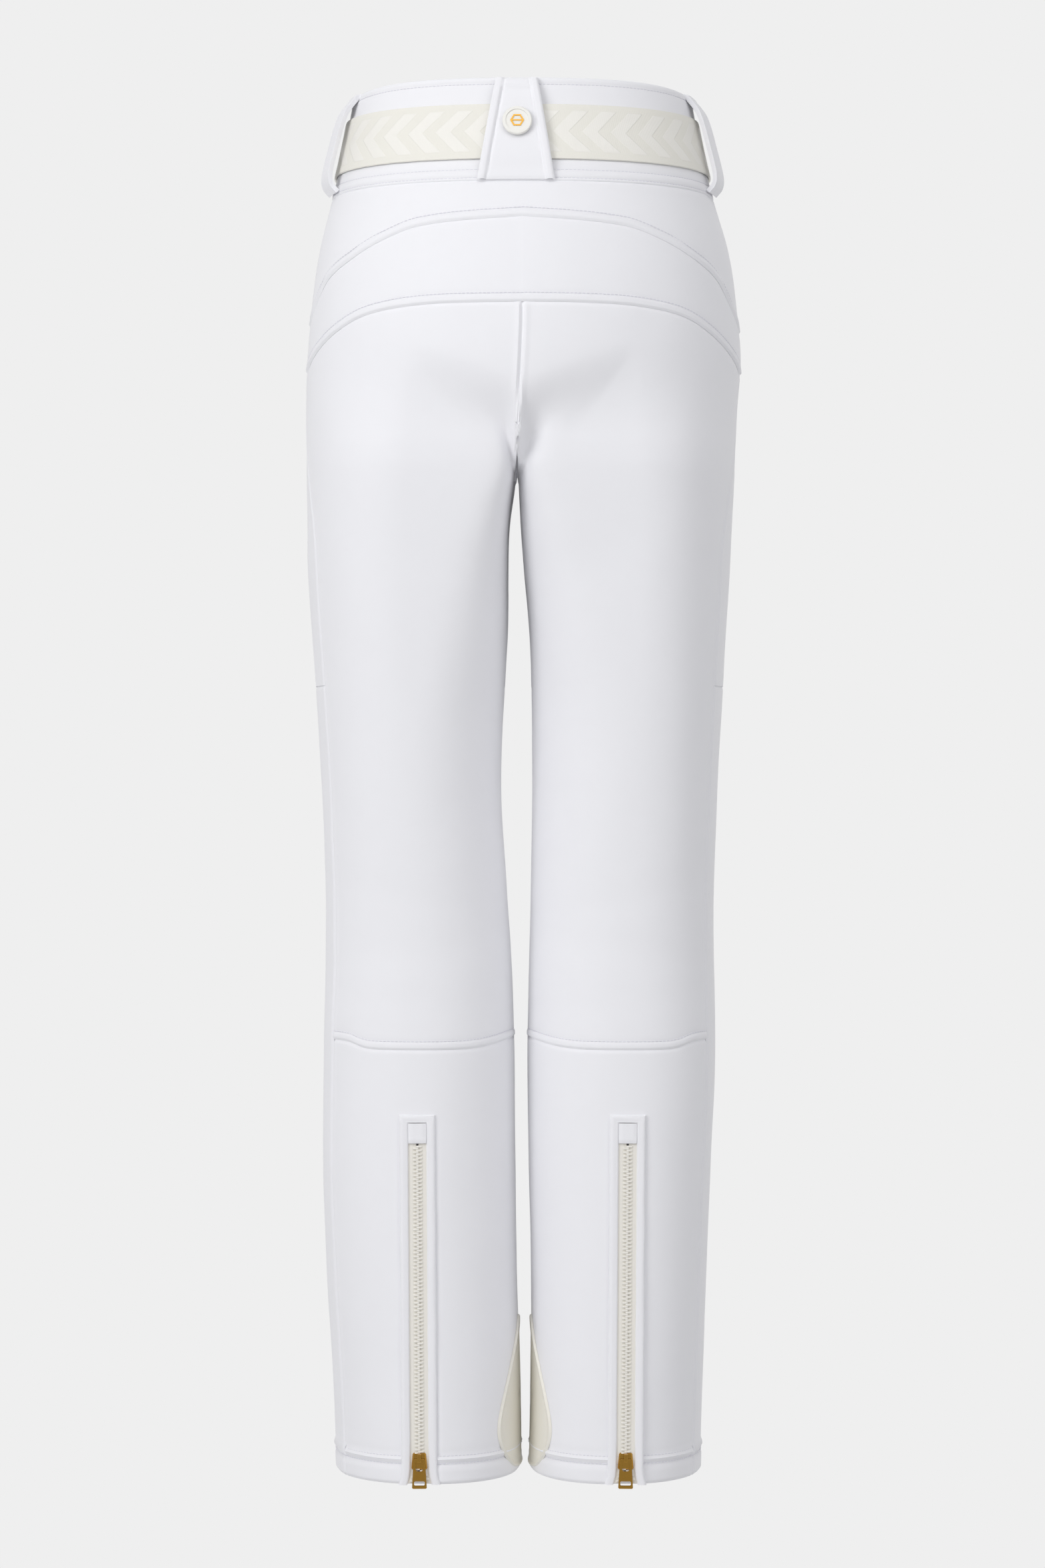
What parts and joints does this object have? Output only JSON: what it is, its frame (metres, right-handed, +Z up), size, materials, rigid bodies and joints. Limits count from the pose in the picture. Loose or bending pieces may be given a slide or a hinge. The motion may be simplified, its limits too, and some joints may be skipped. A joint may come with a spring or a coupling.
{
  "type": "ski pants",
  "caption": "Women's softshell ski pants with yoked seat, belt loops, elastic belt, hem zips, ankle edge guards and inner snow gaiters.",
  "frame": {"origin": "centre of the waist opening, level with the top of the waistband", "axes": "+Z up along the body, +Y to the wearer's front, +X to the wearer's right"},
  "size_m": [0.3344, 0.2606, 1.0572],
  "materials": {
    "softshell": "matte bonded softshell",
    "lining": "plain woven",
    "belt_webbing": "woven elastic",
    "elastic": "knitted elastic",
    "edge_guard": "coated reinforcement",
    "zip_chain": "moulded",
    "gold_metal": "polished",
    "snap_plastic": "satin"
  },
  "bodies": {
    "waist": {"waistband_outer": "softshell", "waistband_lining": "lining", "back_yoke_upper": "softshell", "back_yoke_band": "softshell", "seat_back_left": "softshell", "seat_back_right": "softshell", "hip_front_left": "softshell", "hip_front_right": "softshell", "fly_placket": "softshell", "fly_shield": "lining", "fly_zip_chain": "zip_chain", "waistband_snaps": "snap_plastic", "centre_back_loop": "softshell", "loop_snap_cap": "snap_plastic", "loop_snap_emblem": "gold_metal", "side_loop_left": "softshell", "side_loop_right": "softshell", "front_loop_left": "softshell", "front_loop_right": "softshell", "belt_webbing": "belt_webbing", "buckle_eye": "gold_metal", "pocket_welt_left": "softshell", "pocket_welt_right": "softshell", "pocket_zip_chain_left": "zip_chain", "pocket_zip_chain_right": "zip_chain", "pocket_bag_left": "lining", "pocket_bag_right": "lining"},
    "buckle": {"buckle_hook": "gold_metal"},
    "fly_slider": {"fly_zip_slider": "gold_metal", "fly_zip_pull": "gold_metal"},
    "thigh_left": {"thigh_front_left": "softshell", "thigh_back_left": "softshell"},
    "calf_left": {"shin_front_left": "softshell", "knee_back_left": "softshell", "calf_back_left": "softshell", "hem_zip_welt_left": "softshell", "hem_zip_garage_left": "softshell", "hem_zip_chain_left": "zip_chain", "edge_guard_left": "edge_guard", "snow_gaiter_left": "lining", "gaiter_elastic_left": "elastic"},
    "hem_slider_left": {"hem_zip_slider_left": "gold_metal"},
    "hem_pull_left": {"hem_zip_pull_left": "gold_metal"},
    "pocket_slider_left": {"pocket_zip_slider_left": "gold_metal"},
    "pocket_pull_left": {"pocket_zip_pull_left": "gold_metal"},
    "thigh_right": {"thigh_front_right": "softshell", "thigh_back_right": "softshell"},
    "calf_right": {"shin_front_right": "softshell", "knee_back_right": "softshell", "calf_back_right": "softshell", "hem_zip_welt_right": "softshell", "hem_zip_garage_right": "softshell", "hem_zip_chain_right": "zip_chain", "edge_guard_right": "edge_guard", "snow_gaiter_right": "lining", "gaiter_elastic_right": "elastic"},
    "hem_slider_right": {"hem_zip_slider_right": "gold_metal"},
    "hem_pull_right": {"hem_zip_pull_right": "gold_metal"},
    "pocket_slider_right": {"pocket_zip_slider_right": "gold_metal"},
    "pocket_pull_right": {"pocket_zip_pull_right": "gold_metal"}
  },
  "joints": [
    {"name": "hip_left", "type": "hinge", "parent": "waist", "child": "thigh_left", "pos_m": [-0.083, 0.105, -0.29], "axis": [1, 0, 0], "range_deg": [0, 90]},
    {"name": "knee_left", "type": "hinge", "parent": "thigh_left", "child": "calf_left", "pos_m": [-0.0795, -0.0795, -0.655], "axis": [-1, 0, 0], "range_deg": [0, 110]},
    {"name": "hem_zip_slide_left", "type": "slide", "parent": "calf_left", "child": "hem_slider_left", "axis": [-0.0072, 0.0252, 0.9997], "range_m": [0, 0.228], "deforming": ["hem_zip_chain_left"]},
    {"name": "hem_pull_swing_left", "type": "hinge", "parent": "hem_slider_left", "child": "hem_pull_left", "pos_m": [-0.07764, -0.08957, -1.03299], "axis": [-1, 0, -0.0072], "range_deg": [0, 165]},
    {"name": "pocket_zip_slide_left", "type": "slide", "parent": "waist", "child": "pocket_slider_left", "axis": [-0.315, -0.1045, -0.9433], "range_m": [0, 0.108], "deforming": ["pocket_zip_chain_left"]},
    {"name": "pocket_pull_swing_left", "type": "hinge", "parent": "pocket_slider_left", "child": "pocket_pull_left", "pos_m": [-0.09353, 0.09644, -0.10468], "axis": [0.8097, 0.4888, -0.3246], "range_deg": [0, 165]},
    {"name": "hip_right", "type": "hinge", "parent": "waist", "child": "thigh_right", "pos_m": [0.083, 0.105, -0.29], "axis": [1, 0, 0], "range_deg": [0, 90]},
    {"name": "knee_right", "type": "hinge", "parent": "thigh_right", "child": "calf_right", "pos_m": [0.0795, -0.0795, -0.655], "axis": [-1, 0, 0], "range_deg": [0, 110]},
    {"name": "hem_zip_slide_right", "type": "slide", "parent": "calf_right", "child": "hem_slider_right", "axis": [0.0072, 0.0252, 0.9997], "range_m": [0, 0.228], "deforming": ["hem_zip_chain_right"]},
    {"name": "hem_pull_swing_right", "type": "hinge", "parent": "hem_slider_right", "child": "hem_pull_right", "pos_m": [0.07764, -0.08957, -1.03299], "axis": [-1, 0, 0.0072], "range_deg": [0, 165]},
    {"name": "pocket_zip_slide_right", "type": "slide", "parent": "waist", "child": "pocket_slider_right", "axis": [0.315, -0.1045, -0.9433], "range_m": [0, 0.108], "deforming": ["pocket_zip_chain_right"]},
    {"name": "pocket_pull_swing_right", "type": "hinge", "parent": "pocket_slider_right", "child": "pocket_pull_right", "pos_m": [0.09353, 0.09644, -0.10468], "axis": [0.8097, -0.4888, 0.3246], "range_deg": [0, 165]},
    {"name": "fly_zip_slide", "type": "slide", "parent": "waist", "child": "fly_slider", "axis": [0, 0.0499, -0.9988], "range_m": [0, 0.12], "deforming": ["fly_zip_chain"]},
    {"name": "buckle_swing", "type": "hinge", "parent": "waist", "child": "buckle", "pos_m": [-0.0249, 0.10107, -0.03745], "axis": [0, -0.1584, 0.9874], "range_deg": [0, 75]}
  ]
}
